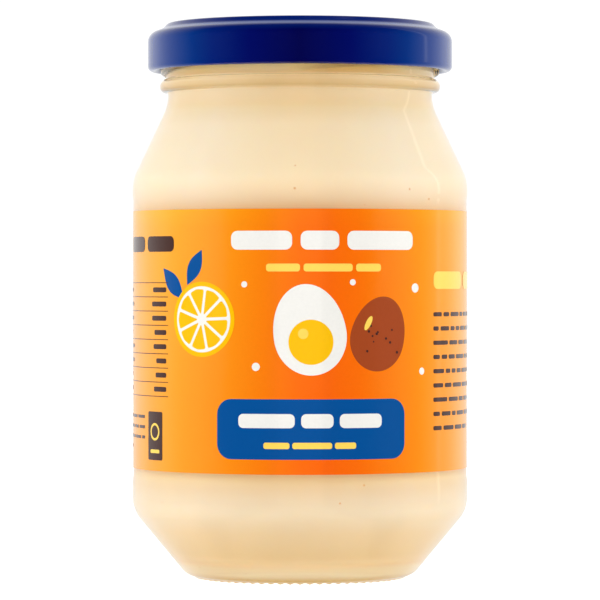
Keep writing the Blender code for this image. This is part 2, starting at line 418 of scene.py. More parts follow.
class Finish:
    """A material being made, with its Principled shader at hand."""

    def __init__(self, name: str) -> None:
        """Starts a material with the name."""
        self.material = bpy.data.materials.new(name)
        self.material.use_nodes = True
        self.board = Board(self.material.node_tree)
        self.shader = self.material.node_tree.nodes["Principled BSDF"]

    def set(self, **values: object) -> None:
        """Sets sockets of the shader; an underscore in a name stands for a space."""
        for name, value in values.items():
            socket = self.shader.inputs[name.replace("_", " ")]
            if isinstance(value, Socket):
                self.board.tree.links.new(value, socket)
            else:
                socket.default_value = value

    def grain(self, scale: float, amount: float) -> Node:
        """Places the grain: so many grains to the metre, and how far they move the tint from 1."""
        return self.board.add("Group", {"Scale": scale, "Amount": amount}, node_tree=grain_group())

    def smudges(self, scale: float, clean: float, smudged: float) -> Socket:
        """Places the handling marks.

        Args:
            scale: Patches to the metre.
            clean: Roughness of the clean surface.
            smudged: Roughness where it was handled.

        Returns:
            The roughness.
        """
        marks = {"Scale": scale, "Clean": clean, "Smudged": smudged}
        return self.board.add("Group", marks, node_tree=smudge_group()).outputs["Roughness"]

    def by_angle(self, tones: Tones, middle: float) -> Socket:
        """A colour that changes with the angle round the jar's axis, the same way to both sides.

        Args:
            tones: Angle from the middle, in degrees, to the colour there.
            middle: Angle of the middle, in degrees to the right of the front.

        Returns:
            The colour.
        """
        board = self.board
        turn = {"Vector": board.place(), "Axis": (0.0, 0.0, 1.0), "Angle": -math.radians(middle)}
        place = board.add("VectorRotate", turn, rotation_type="AXIS_ANGLE").outputs["Vector"]
        split = board.add("SeparateXYZ", {"Vector": place})
        front = board.math("MULTIPLY", split.outputs["Y"], -1.0)
        angle = board.math("ABSOLUTE", board.math("ARCTAN2", split.outputs["X"], front))
        share = board.math("DIVIDE", angle, math.pi)
        return board.ramp(share, {degrees / 180: colour for degrees, colour in tones})

    def by_height(self, tones: Tones, top: float) -> Socket:
        """A colour that changes with the height above the jar's base.

        Args:
            tones: Height, in millimetres, to the colour there.
            top: Height of the jar.

        Returns:
            The colour.
        """
        share = self.board.math("DIVIDE", self.board.height(), top * MM)
        return self.board.ramp(share, {level / top: colour for level, colour in tones})

    def relief(self, grain: Node, depth: float, strength: float) -> Socket:
        """A normal from the grain's height.

        Args:
            grain: The placed grain, whose height runs from 0 to 1.
            depth: What 1 stands for, in millimetres.
            strength: The bump's strength.

        Returns:
            The normal.
        """
        bump = {"Height": grain.outputs["Height"], "Distance": depth * MM, "Strength": strength}
        return self.board.add("Bump", bump).outputs["Normal"]

    def on_paper(self, colour: object, amount: float) -> Material:
        """Gives the material the label paper's grain and thin gloss.

        Args:
            colour: The printed colour.
            amount: How far the grain moves it.

        Returns:
            The finished material.
        """
        grain = self.grain(scale=1800.0, amount=amount)
        self.set(
            Base_Color=self.board.scaled(colour, grain.outputs["Tint"]),
            Roughness=self.smudges(scale=50.0, clean=0.45, smudged=0.55),
            Specular_IOR_Level=0.0,
            Coat_Weight=1.0,
            Coat_Roughness=0.15,
            Coat_IOR=1.5,
            Normal=self.relief(grain, depth=0.01, strength=0.25),
        )
        return self.material


@dataclass(frozen=True)
class ClearGlass:
    """Clear container glass with faint handling marks, tinted in height bands that paint the shade and
    highlight round its bead and the shade at its foot.

    Attributes:
        top: Height of the jar, in millimetres.
        painted_shade_tints: Height to the glass's tint: painted shade and highlight round the bead, and
            painted shade at the foot.
        index: Index of refraction.
    """

    top: float
    painted_shade_tints: Tones = (
        (0.2, (0.62, 0.42, 0.13)), (0.95, (0.56, 0.37, 0.11)), (1.15, (0.66, 0.52, 0.30)),
        (1.4, (0.85, 0.80, 0.71)), (1.75, (0.94, 0.95, 0.94)), (2.6, (0.975, 0.985, 0.985)),
        (2.9, (0.975, 0.985, 0.95)), (3.3, (0.975, 0.93, 0.86)), (3.7, (0.97, 0.84, 0.73)),
        (4.1, (0.97, 0.88, 0.78)), (4.6, (0.975, 0.985, 0.975)), (95.95, (0.975, 0.985, 0.975)),
        (96.2, (0.85, 0.81, 0.67)), (96.4, (0.71, 0.61, 0.385)), (96.65, (0.79, 0.71, 0.52)),
        (97.0, (0.85, 0.76, 0.59)), (97.3, (0.88, 0.81, 0.67)), (97.55, (0.975, 0.985, 0.975)),
        (98.0, (0.88, 0.81, 0.64)), (98.35, (0.90, 0.865, 0.775)), (98.8, (0.975, 0.985, 0.975)),
    )
    index: float = 1.5

    def material(self) -> Material:
        """Builds the material."""
        finish = Finish("clear glass")
        # The tint by height is painted shade and highlight, not the glass's own colour.
        finish.set(
            Base_Color=finish.by_height(self.painted_shade_tints, self.top),
            Transmission_Weight=1.0,
            IOR=self.index,
            Roughness=finish.smudges(scale=35.0, clean=0.0, smudged=0.035),
            Normal=finish.relief(finish.grain(scale=60.0, amount=0.0), depth=0.02, strength=0.25),
        )
        return finish.material


@dataclass(frozen=True)
class Mayonnaise:
    """Smooth pale cream with faint mottling and a few brown specks, its colour holding painted light and
    shade.

    Attributes:
        top: Height of the jar, in millimetres.
        tones: Height to the cream's colour, with painted shade under the lid, at the label's edges and at the
            base, and painted light and shade in bands behind the bead.
        sides: Angle from the front, in degrees, to how much paler the cream is there, a painted reflection of
            the bright room at the sides.
        painted_side_reflection_rise: Heights between which that painted reflection comes in.
        painted_lid_shade: Painted shade under the lid: angle from its deepest place, in degrees, to how much
            deeper the cream is.
        painted_lid_shade_middle: Angle of that deepest place, in degrees to the right of the front.
        painted_lid_shade_rise: Heights between which that painted shade comes in.
        painted_floor_light: Painted light on the floor of the jar: how much paler the cream is there.
        painted_floor_light_radii: Radii between which that painted light comes in.
        clouds: Patches of the mottling to the metre.
        mottling: How far the mottling moves the colour.
        speck: Colour of the specks.
        speck_cells: Cells to the metre, each with room for a speck.
        speck_size: Radius of a speck, as a share of its cell.
        speck_rarity: Share of the cells that stay empty.
        speck_strength: How strongly a speck shows.
    """

    top: float
    tones: Tones = (
        (4.8, (0.98, 0.74, 0.43)), (5.2, (0.82, 0.60, 0.33)), (5.9, (0.755, 0.535, 0.285)),
        (6.8, (0.735, 0.527, 0.278)), (11.0, (0.775, 0.573, 0.332)), (14.5, (0.805, 0.648, 0.440)),
        (16.5, (0.815, 0.645, 0.430)), (19.0, (0.79, 0.590, 0.350)), (20.5, (0.82, 0.610, 0.325)),
        (22.0, (0.92, 0.62, 0.30)), (72.0, (0.88, 0.56, 0.26)), (74.5, (0.89, 0.66, 0.40)),
        (78.5, (0.945, 0.745, 0.488)), (88.5, (0.93, 0.727, 0.468)), (91.5, (0.87, 0.66, 0.382)),
        (92.5, (0.83, 0.61, 0.330)), (93.7, (0.80, 0.58, 0.322)), (95.3, (0.785, 0.575, 0.325)),
        (97.3, (0.81, 0.58, 0.31)), (98.9, (0.82, 0.555, 0.265)), (99.9, (0.99, 0.72, 0.36)),
        (104.0, (0.99, 0.72, 0.36)),
    )
    sides: Tones = (
        (0.0, (1.0, 1.0, 1.0)), (15.0, (1.0, 1.015, 1.04)), (25.0, (1.0, 1.035, 1.10)),
        (40.0, (1.0, 1.06, 1.20)), (60.0, (1.0, 1.05, 1.14)), (90.0, (1.0, 1.03, 1.08)),
        (180.0, (1.0, 1.0, 1.0)),
    )
    painted_lid_shade: Tones = (
        (0.0, (0.97, 0.80, 0.50)), (10.0, (0.97, 0.81, 0.52)), (27.0, (1.0, 0.95, 0.82)),
        (38.0, (1.0, 1.0, 1.0)), (80.0, (1.0, 0.88, 0.68)), (180.0, (0.95, 0.84, 0.64)),
    )
    painted_lid_shade_middle: float = 26.0
    painted_floor_light: Colour = (1.2, 1.28, 1.42)
    painted_side_reflection_rise: Point = (11.0, 26.0)
    painted_lid_shade_rise: Point = (98.0, 99.6)
    painted_floor_light_radii: Point = (15.5, 11.5)
    clouds: float = 70.0
    mottling: float = 0.04
    speck: Colour = (0.72, 0.32, 0.09)
    speck_cells: float = 240.0
    speck_size: float = 0.06
    speck_rarity: float = 0.72
    speck_strength: float = 0.6

    def material(self) -> Material:
        """Builds the material."""
        finish = Finish("mayonnaise")
        board = finish.board
        place = board.place()
        noise = {"Vector": place, "Scale": self.clouds, "Detail": 4.0, "Distortion": 0.6}
        clouds = board.add("TexNoise", noise).outputs["Fac"]
        mottled = board.span(clouds, (0.0, 1.0), 1.0 - self.mottling, 1.0 + self.mottling)
        # The height tones paint shade under the lid, at the label's edges, at the base and round the bead.
        cream = board.scaled(finish.by_height(self.tones, self.top), mottled)
        height = board.height()
        level = board.product(place, (1.0, 1.0, 0.0))
        radius = board.add("VectorMath", {0: level}, operation="LENGTH").outputs["Value"]
        # Painted reflection at the sides, painted shade under the lid and painted light on the jar's floor.
        for along, (start, end), factor in (
            (height, self.painted_side_reflection_rise, finish.by_angle(self.sides, 0.0)),
            (height, self.painted_lid_shade_rise, finish.by_angle(self.painted_lid_shade, self.painted_lid_shade_middle)),
            (radius, self.painted_floor_light_radii, self.painted_floor_light),
        ):
            share = board.span(along, (start * MM, end * MM))
            cream = board.mix(share, cream, board.product(cream, factor))
        cells = board.add("TexVoronoi", {"Vector": place, "Scale": self.speck_cells, "Randomness": 1.0})
        near = board.math("LESS_THAN", cells.outputs["Distance"], self.speck_size)
        drawn = board.add("SeparateColor", {0: cells.outputs["Color"]}).outputs[0]
        rare = board.math("GREATER_THAN", drawn, self.speck_rarity)
        specks = board.math("MULTIPLY", board.math("MULTIPLY", near, rare), self.speck_strength)
        finish.set(
            Base_Color=board.mix(specks, cream, (*self.speck, 1.0)),
            Roughness=0.55,
            Specular_IOR_Level=0.0,
            Subsurface_Weight=0.35,
            Subsurface_Radius=(1.0, 0.7, 0.4),
            Subsurface_Scale=2.5 * MM,
        )
        return finish.material


@dataclass(frozen=True)
class BlueLacquer:
    """Blue lacquer over bright tinplate under a clear coat. Its colour holds a painted reflection, darkest in
    front where it mirrors the dark room, and a painted highlight at the foot of the ring.

    Attributes:
        top: Height of the jar, in millimetres.
        tones: Angle from the front, in degrees, to the lacquer's colour, darkened in front as a painted
            reflection of the dark room.
        raised: Its colour on the ring and the panel, a lighter blue painted as light on the faces that look
            up, without the dark front.
        raised_drops: Depths below the top between which the front's colour gives way to the ring's.
        painted_highlight: A painted highlight at the foot of the ring, a brighter blue.
        painted_highlight_drops: Depths below the top where that painted highlight comes in, is full, and
            goes.
    """

    top: float
    tones: Tones = (
        (0.0, (0.0003, 0.0008, 0.070)), (19.0, (0.0005, 0.0035, 0.125)), (34.0, (0.0005, 0.014, 0.175)),
        (46.0, (0.001, 0.034, 0.225)), (70.0, (0.001, 0.040, 0.250)), (180.0, (0.0008, 0.028, 0.230)),
    )
    raised: Colour = (0.0005, 0.016, 0.190)
    painted_highlight: Colour = (0.004, 0.060, 0.36)
    raised_drops: Point = (2.9, 1.6)
    painted_highlight_drops: tuple[float, ...] = (1.55, 1.3, 1.05, 0.85)

    def material(self) -> Material:
        """Builds the material."""
        finish = Finish("blue lacquer")
        board = finish.board
        grain = finish.grain(scale=2500.0, amount=0.05)
        # The ring's lighter blue, with a painted highlight in a band at the foot of the ring.
        upper = zip(self.painted_highlight_drops, (self.raised, self.painted_highlight, self.painted_highlight, self.raised))
        above = finish.by_height(tuple((self.top - drop, tone) for drop, tone in upper), self.top)
        # Above the shoulder the painted dark reflection gives way to the ring's lighter blue, painted as
        # light from above.
        start, end = ((self.top - drop) * MM for drop in self.raised_drops)
        blue = board.mix(board.span(board.height(), (start, end)), finish.by_angle(self.tones, 0.0), above)
        finish.set(
            Base_Color=board.scaled(blue, grain.outputs["Tint"]),
            Metallic=0.2,
            Specular_IOR_Level=0.0,
            Roughness=finish.smudges(scale=60.0, clean=0.42, smudged=0.50),
            Coat_Weight=1.0,
            Coat_Roughness=0.12,
            Coat_IOR=1.5,
            Normal=finish.relief(grain, depth=0.004, strength=0.3),
        )
        return finish.material


@dataclass(frozen=True)
class OrangePaper:
    """Coated paper in an orange that is deepest in front and turns yellow to the sides, partly as printed and
    partly as a painted reflection, with painted light along its top edge.

    Attributes:
        top: Height of the jar, in millimetres.
        deepest: Angle of the deepest orange, in degrees to the right of the front.
        tones: Angle from the deepest place, in degrees, to the colour: the print's gradient, with a painted
            reflection that pales it towards the sides.
        fade: Height to how much yellower the orange is there, most along the top edge, where it is painted
            light.
    """

    top: float
    deepest: float = 9.5
    tones: Tones = (
        (0.0, (0.93, 0.127, 0.0010)), (10.0, (0.93, 0.147, 0.0012)), (21.0, (0.93, 0.195, 0.0015)),
        (33.0, (0.93, 0.252, 0.005)), (45.0, (0.93, 0.304, 0.016)), (62.0, (0.93, 0.360, 0.030)),
        (110.0, (0.93, 0.380, 0.034)), (180.0, (0.93, 0.260, 0.010)),
    )
    fade: Tones = (
        (22.0, (1.0, 0.99, 0.95)), (36.0, (1.0, 1.0, 0.95)), (45.0, (1.0, 1.03, 1.0)),
        (60.0, (1.0, 1.07, 1.05)), (69.0, (1.0, 1.10, 1.15)), (72.5, (1.0, 1.22, 1.25)),
    )

    def material(self) -> Material:
        """Builds the material."""
        finish = Finish("orange paper")
        # The print's gradient with a painted reflection to the sides, and painted light along the top edge.
        orange = finish.by_angle(self.tones, self.deepest)
        faded = finish.board.product(orange, finish.by_height(self.fade, self.top))
        return finish.on_paper(faded, amount=0.03)


@dataclass(frozen=True)
class PrintingInk:
    """One printed colour on the paper, with the paper's grain showing through.

    Attributes:
        name: The ink's name.
        colour: Its colour.
    """

    name: str
    colour: Colour

    def material(self) -> Material:
        """Builds the material."""
        return Finish(f"{self.name} ink").on_paper(self.colour, amount=0.04)


@dataclass
class JarSizes:
    """The jar's sizes, from the frame where it gives them.

    Attributes:
        wall: Thickness of the glass on the straight body.
        neck_bore: Inner radius of the neck.
    """

    wall: float = 2.8
    neck_bore: float = 23.7
    body: float = field(init=False)
    lid_radius: float = field(init=False)
    lid_bottom: float = field(init=False)
    top: float = field(init=False)
    rim: float = field(init=False)
    fill: float = field(init=False)
    label_bottom: float = field(init=False)
    label_top: float = field(init=False)

    def __post_init__(self) -> None:
        """Reads the main sizes from the frame's nodes."""
        glass, lid, label, cream = (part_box(node) for node in ("glass_jar", "lid", "label", "mayonnaise"))
        self.body = glass[1][0] / MM
        self.rim = glass[1][2] / MM
        self.lid_radius = lid[1][0] / MM
        self.lid_bottom = lid[0][2] / MM
        self.top = lid[1][2] / MM
        self.label_bottom = label[0][2] / MM
        self.label_top = label[1][2] / MM
        self.fill = cream[1][2] / MM

    @property
    def bore(self) -> float:
        """Inner radius of the straight body."""
        return self.body - self.wall


@dataclass
class GlassJar:
    """The clear glass: a turned shell with threads, mould seams and a knurled standing ring."""

    sizes: JarSizes
    steps: int = 408
    heel_corner: float = 13.5
    heel_slope: float = 0.83
    shoulder_corner: float = 78.8
    shoulder_slope: float = 0.475
    floor: float = 4.8
    neck: float = 26.18
    bead: float = 27.78
    bead_bottom: float = 96.15
    bead_top: float = 98.45
    finish: float = 26.6
    standing: float = 18.5
    knurls: int = 68
    knurl_depth: float = 0.25
    threads: int = 4
    thread_lead: float = 14.0
    thread_arc: float = 96.0
    thread_low: float = 100.05
    thread_rise: float = 1.05
    thread_half_height: float = 1.05
    first_thread: float = -184.0
    thread_start: float = 0.15
    thread_fades: Point = (5.0, 12.0)
    seam_rise: float = 0.04
    seam_half_width: float = 0.006
    seam_bottom: float = 2.0
    rim_corner: float = 1.5
    margin: float = 0.2
    knurl_land: float = 0.35
    band_depth: float = 0.15
    panel_depth: float = 0.25
    contents_reach: float = 0.05
    contents_steps: int = 256

    def inside(self, grow: float) -> tuple[Corner, ...]:
        """The inner wall from the middle of the floor up to the neck.

        Args:
            grow: How far the wall is moved outwards.

        Returns:
            Its corners, without the rim.
        """
        size = self.sizes
        wall = size.wall - grow
        bore = size.body - wall
        neck = size.neck_bore + grow
        floor = self.floor - grow
        heel = self.heel_corner + wall * math.tan(math.atan(self.heel_slope) / 2)
        shoulder = self.shoulder_corner - wall * math.tan(math.atan(self.shoulder_slope) / 2)
        return (
            Corner(0.0, floor + 1.0),
            Corner(9.0, floor + 0.75, 30.0),
            Corner(16.0, floor, 6.0),
            Corner(bore - (heel - floor) * self.heel_slope, floor, 4.0),
            Corner(bore, heel, 5.0),
            Corner(bore, shoulder, 8.0),
            Corner(neck, shoulder + (bore - neck) / self.shoulder_slope, 8.0),
        )

    def outline(self) -> Outline:
        """The whole outline of the glass, from the inner floor over the rim to the push-up."""
        size = self.sizes
        band = size.body - self.band_depth
        panel = size.body - self.panel_depth
        outer_neck = self.shoulder_corner + (size.body - self.neck) / self.shoulder_slope
        heel = size.body - (self.heel_corner - self.knurl_depth) * self.heel_slope
        return Outline((
            *self.inside(0.0),
            Corner(size.neck_bore, size.rim, 1.2),
            Corner(self.finish, size.rim, 1.2),
            Corner(self.finish, size.rim - 3.4, 0.0, 36),
            Corner(self.finish, self.bead_top, 0.5),
            Corner(self.bead, self.bead_top + 0.1, 1.1),
            Corner(self.bead, self.bead_bottom, 1.1),
            Corner(self.neck, self.bead_bottom - 0.2, 0.4),
            Corner(self.neck, outer_neck, 9.0),
            Corner(size.body, self.shoulder_corner, 9.0),
            Corner(size.body, size.label_top + 3.1, 1.5),
            Corner(band, size.label_top + 2.2, 1.5),
            Corner(band, size.label_top - 0.3),
            Corner(panel, size.label_top - 0.5),
            Corner(panel, size.label_bottom + 0.5),
            Corner(band, size.label_bottom + 0.3),
            Corner(band, size.label_bottom - 1.6, 1.5),
            Corner(size.body, size.label_bottom - 2.6, 1.5),
            Corner(size.body, self.heel_corner, 6.5),
            Corner(heel, self.knurl_depth, 4.0, 3),
            Corner(self.standing, self.knurl_depth, 0.4, 1),
            Corner(self.standing - 1.8, 1.4, 1.0),
            Corner(0.0, 2.6),
        ), degrees_per_step=7.0)

    def thread_bump(self, degrees: float, height: float) -> float:
        """How far the threads stand out of the neck at a place.

        Args:
            degrees: Angle from +X.
            height: Height above the jar's base.

        Returns:
            The rise above the neck's wall.
        """
        spacing = 360 / self.threads
        fade_in, fade_out = self.thread_fades
        along = (degrees - self.first_thread) % spacing
        bump = 0.0
        for travelled in (along, along + spacing):
            if travelled > self.thread_arc:
                continue
            middle = self.thread_low + self.thread_lead * travelled / 360
            across = (height - middle) / self.thread_half_height
            if abs(across) >= 1:
                continue
            fade = min(1.0, self.thread_start + travelled / fade_in, (self.thread_arc - travelled) / fade_out)
            bump = max(bump, self.thread_rise * math.sqrt(1 - across * across) * fade)
        return bump

    def shape_surface(self, piece: Piece) -> None:
        """Raises the threads, mould seams and knurling on the turned glass.

        Args:
            piece: The turned glass.
        """
        for vertex in piece.data.vertices:
            x, y, z = vertex.co / MM
            radius = math.hypot(x, y)
            if radius < 1:
                continue
            degrees = math.degrees(math.atan2(y, x))
            rise = 0.0
            on_neck = self.bead_top + self.margin < z < self.sizes.rim - self.rim_corner
            if on_neck and radius > self.finish - self.margin:
                rise = self.thread_bump(degrees, z)
            elif radius > self.sizes.bore and self.seam_bottom < z < self.bead_top:
                on_seam = abs(math.sin(math.radians(degrees))) < self.seam_half_width
                rise = min(self.seam_rise * on_seam, self.sizes.body - radius)
            vertex.co.x += rise * MM * x / radius
            vertex.co.y += rise * MM * y / radius
            if z < self.knurl_depth + self.margin / 4 and radius > self.standing + self.margin:
                wave = math.cos(math.radians(degrees) * self.knurls) + self.knurl_land
                wave = max(0.0, wave) / (1 + self.knurl_land)
                vertex.co.z -= min(z, self.knurl_depth) * MM * wave

    def build(self) -> None:
        """Builds and dresses the glass, which lets all light through to the mayonnaise."""
        piece = turned("jar_glass", self.outline(), self.steps)
        self.shape_surface(piece)
        piece.visible_shadow = False
        piece.visible_diffuse = False
        finish_piece(piece, ClearGlass(self.sizes.top).material(), Slot.GLASS, "glass_jar")

    def build_contents(self) -> None:
        """Builds and dresses the mayonnaise, which reaches just into the wall of the glass."""
        size, reach = self.sizes, self.contents_reach
        outline = Outline((
            *self.inside(reach),
            Corner(size.neck_bore + reach, size.fill),
            Corner(8.0, size.fill - 0.6),
            Corner(0.0, size.fill - 0.5),
        ), degrees_per_step=7.0)
        piece = turned("jar_contents", outline, self.contents_steps)
        finish_piece(piece, Mayonnaise(size.top).material(), Slot.CONTENTS, "mayonnaise")


@dataclass
class Lid:
    """The twist-off lid: a pressed sheet with a raised ring, a round shoulder and a rolled edge."""

    sizes: JarSizes
    sheet: float = 0.3
    curl: float = 1.0
    curl_turn: float = 290.0
    curl_steps: int = 20
    curl_drop: float = 0.07
    curl_tightening: float = 0.12
    ring_inner: float = 23.7
    ring_outer: float = 26.3
    ring_foot: float = 27.2
    ring_step: float = 1.02
    panel_drop: float = 0.9
    shoulder_drop: float = 2.12
    shoulder_rounding: float = 2.2
    foot_rounding: float = 1.8
    button: float = 9.0
    button_rise: float = 0.35
    lugs: int = 4
    lug: float = 0.7
    lug_radius: float = 27.75
    lug_height: float = 101.2
    lug_arc: float = 15.0
    first_lug: float = -114.0
    steps: int = 256

    def outline(self) -> Outline:
        """The outline from the middle of the top, round the rolled edge, to the middle of the underside."""
        size, sheet = self.sizes, self.sheet
        top, radius = size.top, size.lid_radius
        curl_height = size.lid_bottom + self.curl - self.curl_drop
        roll = []
        for step in range(self.curl_steps + 1):
            angle = -math.radians(self.curl_turn * step / self.curl_steps)
            spoke = self.curl - self.curl_tightening * step / self.curl_steps
            across, up = spoke * math.cos(angle), spoke * math.sin(angle)
            roll.append(Corner(radius - self.curl + across, curl_height + up))
        panel = top - self.panel_drop
        raised = panel + self.button_rise
        return Outline((
            Corner(0.0, raised),
            Corner(self.button, raised, 3.0),
            Corner(self.button + 1.2, panel, 1.5),
            Corner(self.ring_inner - 0.7, panel, 0.6),
            Corner(self.ring_inner, top, 0.3),
            Corner(self.ring_outer, top, 0.75),
            Corner(self.ring_foot, top - self.ring_step, self.foot_rounding),
            Corner(radius, top - self.shoulder_drop, self.shoulder_rounding),
            *roll,
            Corner(radius - sheet, curl_height + 1.1 * self.curl),
            Corner(radius - sheet, top - self.shoulder_drop - sheet, self.shoulder_rounding - sheet),
            Corner(self.ring_foot - sheet / 2, top - self.ring_step - sheet, 0.2),
            Corner(self.ring_outer - 0.1, top - sheet, 0.5),
            Corner(self.ring_inner + 0.2, top - sheet, 0.2),
            Corner(self.ring_inner - 0.5, panel - sheet, 0.4),
            Corner(self.button + 1.2, panel - sheet, 1.2),
            Corner(self.button, raised - sheet, 2.7),
            Corner(0.0, raised - sheet),
        ), degrees_per_step=8.0)

    def add_lugs(self, piece: Piece) -> None:
        """Adds the lugs: a round section is spun through its arc, rounded, copied round and joined on.

        Args:
            piece: The turned lid.
        """
        deselect()
        section = {"vertices": 16, "radius": self.lug * MM, "fill_type": "NGON"}
        place = (self.lug_radius * MM, 0.0, self.lug_height * MM)
        bpy.ops.mesh.primitive_circle_add(location=place, rotation=(math.pi / 2, 0.0, 0.0), **section)
        first = bpy.context.object
        with editing():
            arc = math.radians(self.lug_arc)
            bpy.ops.mesh.spin(steps=10, angle=arc, center=(0, 0, 0), axis=(0, 0, 1))
            bpy.ops.mesh.select_all(action="SELECT")
            bpy.ops.mesh.normals_make_consistent(inside=False)
        settle(first)
        edges = {"limit_method": "ANGLE", "angle_limit": math.radians(60)}
        apply_modifier(first, "BEVEL", width=self.lug * 0.5 * MM, segments=3, **edges)
        bpy.ops.object.shade_smooth_by_angle(angle=SMOOTH_ANGLE)
        lugs = [first, *(copied(first) for _ in range(1, self.lugs))]
        for index, lug in enumerate(lugs):
            lug.rotation_euler.z = math.radians(self.first_lug + index * 360 / self.lugs)
            settle(lug)
        join(piece, lugs)

    def build(self) -> None:
        """Builds and dresses the lid."""
        piece = turned("jar_lid", self.outline(), self.steps)
        self.add_lugs(piece)
        finish_piece(piece, BlueLacquer(self.sizes.top).material(), Slot.LID, "lid")


class Flat:
    """Draws flat shapes in the plane of the unrolled label: X runs round the jar and Y up from its edge."""

    EGG_HALVES = (1.42, 1.08)  # length of the upper and the lower half, as shares of half the width
    LEAF_WIDTH = 0.42  # as a share of its length
    LEAF_TAPER = 0.75  # how far its ends are drawn in

    def __init__(self) -> None:
        """Starts with no shapes."""
        self.shapes: dict[Ink, list[Piece]] = {ink: [] for ink in Ink}
        self.pill: Piece | None = None

    def keep(self, ink: Ink, shape: Piece) -> Piece:
        """Files a shape under its ink, and returns it."""
        self.shapes[ink].append(shape)
        return shape

    def disc(self, ink: Ink, x: float, y: float, radius: float, sides: int = 64) -> Piece:
        """A filled circle.

        Args:
            ink: Its ink.
            x: Its middle, round the jar.
            y: Its middle, above the label's lower edge.
            radius: Its radius.
            sides: Number of its sides.

        Returns:
            The shape.
        """
        deselect()
        bpy.ops.mesh.primitive_circle_add(vertices=sides, radius=radius, fill_type="NGON", location=(x, y, 0))
        return self.keep(ink, bpy.context.object)

    def ring(self, ink: Ink, x: float, y: float, radius: float, width: float) -> Piece:
        """A circle's outline: a disc is inset by the width and its middle is taken out.

        Args:
            ink: Its ink.
            x: Its middle, round the jar.
            y: Its middle, above the label's lower edge.
            radius: Its outer radius.
            width: Width of the line.

        Returns:
            The shape.
        """
        shape = self.disc(ink, x, y, radius)
        with editing():
            bpy.ops.mesh.inset(thickness=width)
            bpy.ops.mesh.delete(type="ONLY_FACE")
        return shape

    def egg(self, ink: Ink, x: float, y: float, width: float, tilt: float) -> None:
        """An egg: a disc whose upper half is drawn up.

        Args:
            ink: Its ink.
            x: Its middle, round the jar.
            y: Its middle, above the label's lower edge.
            width: Its width.
            tilt: Its lean, in degrees.
        """
        shape = self.disc(ink, x, y, width / 2)
        upper, lower = self.EGG_HALVES
        for vertex in shape.data.vertices:
            vertex.co.y *= upper if vertex.co.y > 0 else lower
        shape.rotation_euler.z = math.radians(tilt)

    def leaf(self, ink: Ink, x: float, y: float, length: float, tilt: float) -> None:
        """A leaf: a narrow disc with its two ends drawn to points.

        Args:
            ink: Its ink.
            x: Its middle, round the jar.
            y: Its middle, above the label's lower edge.
            length: Its length.
            tilt: Its lean, in degrees.
        """
        shape = self.disc(ink, x, y, length / 2, 40)
        for vertex in shape.data.vertices:
            share = abs(vertex.co.x) / (length / 2)
            vertex.co.y *= self.LEAF_WIDTH * (1 - self.LEAF_TAPER * share * share)
        shape.rotation_euler.z = math.radians(tilt)

    def bar(self, ink: Ink, x: float, y: float, width: float, height: float) -> None:
        """A bar with round ends, copied from one pill and drawn out to its width.

        Args:
            ink: Its ink.
            x: Its middle, round the jar.
            y: Its middle, above the label's lower edge.
            width: Its width, at least twice its height.
            height: Its height.
        """
        if self.pill is None:
            deselect()
            bpy.ops.mesh.primitive_plane_add(size=1.0)
            self.pill = bpy.context.object
            with editing():
                bpy.ops.transform.resize(value=(2.0, 1.0, 1.0))
                bpy.ops.mesh.bevel(affect="VERTICES", offset=0.499, offset_type="WIDTH", segments=5)
        shape = copied(self.pill)
        stretch = max(0.0, width - 2 * height) / 2
        for vertex in shape.data.vertices:
            vertex.co *= height
            vertex.co.x += math.copysign(stretch, vertex.co.x)
        shape.location = (x, y, 0)
        self.keep(ink, shape)

    def plate(self, ink: Ink, x: float, y: float, width: float, height: float, rounding: float) -> None:
        """A rectangle with rounded corners.

        Args:
            ink: Its ink.
            x: Its middle, round the jar.
            y: Its middle, above the label's lower edge.
            width: Its width.
            height: Its height.
            rounding: Radius of its corners.
        """
        deselect()
        bpy.ops.mesh.primitive_plane_add(size=1.0, location=(x, y, 0))
        with editing():
            bpy.ops.transform.resize(value=(width, height, 1.0))
            bpy.ops.mesh.bevel(affect="VERTICES", offset=rounding, offset_type="WIDTH", segments=8)
        self.keep(ink, bpy.context.object)


